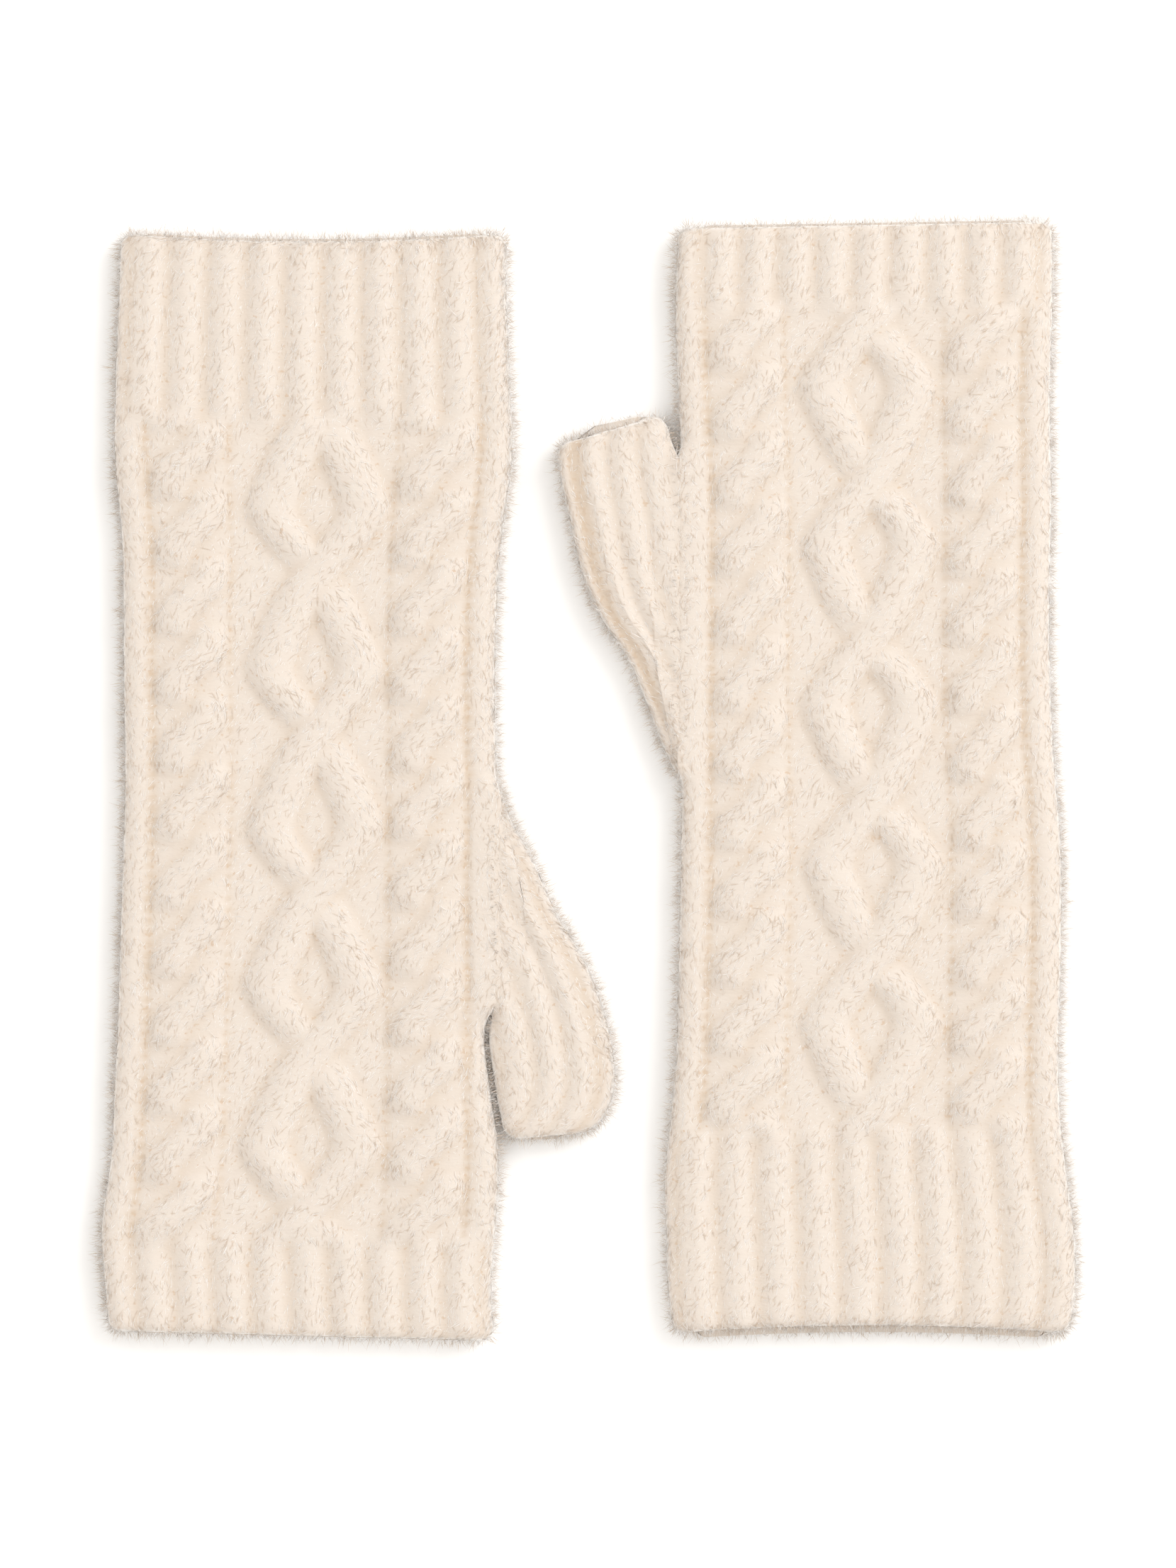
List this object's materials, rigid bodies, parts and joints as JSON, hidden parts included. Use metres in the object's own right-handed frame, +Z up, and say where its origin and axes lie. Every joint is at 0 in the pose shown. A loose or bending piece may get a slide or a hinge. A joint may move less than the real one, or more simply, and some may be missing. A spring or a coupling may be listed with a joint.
{
  "type": "pair of wrist warmers",
  "caption": "Pair of cream cable-knit wrist warmers with ribbed cuffs and open thumbs, laid flat side by side, one pointing up and one pointing down.",
  "frame": {"origin": "midway between the two warmers on the surface they lie on, at the centre of the pair's outline", "axes": "+Z up from the surface; +Y along both warmers, towards the fingers of the warmer at +X and towards the arm opening of the warmer at -X; the thumbs lie between them"},
  "size_m": [0.2405, 0.2751, 0.01],
  "materials": {
    "cream_wool": "brushed, matt and fuzzy"
  },
  "bodies": {
    "root": {"left_arm_rib_front": "cream_wool", "left_arm_rib_back": "cream_wool", "left_hand_front": "cream_wool", "left_hand_back": "cream_wool", "left_finger_rib_front": "cream_wool", "left_finger_rib_back": "cream_wool", "left_thumb_front": "cream_wool", "left_thumb_back": "cream_wool", "right_arm_rib_front": "cream_wool", "right_arm_rib_back": "cream_wool", "right_hand_front": "cream_wool", "right_hand_back": "cream_wool", "right_finger_rib_front": "cream_wool", "right_finger_rib_back": "cream_wool", "right_thumb_front": "cream_wool", "right_thumb_back": "cream_wool"}
  },
  "joints": []
}
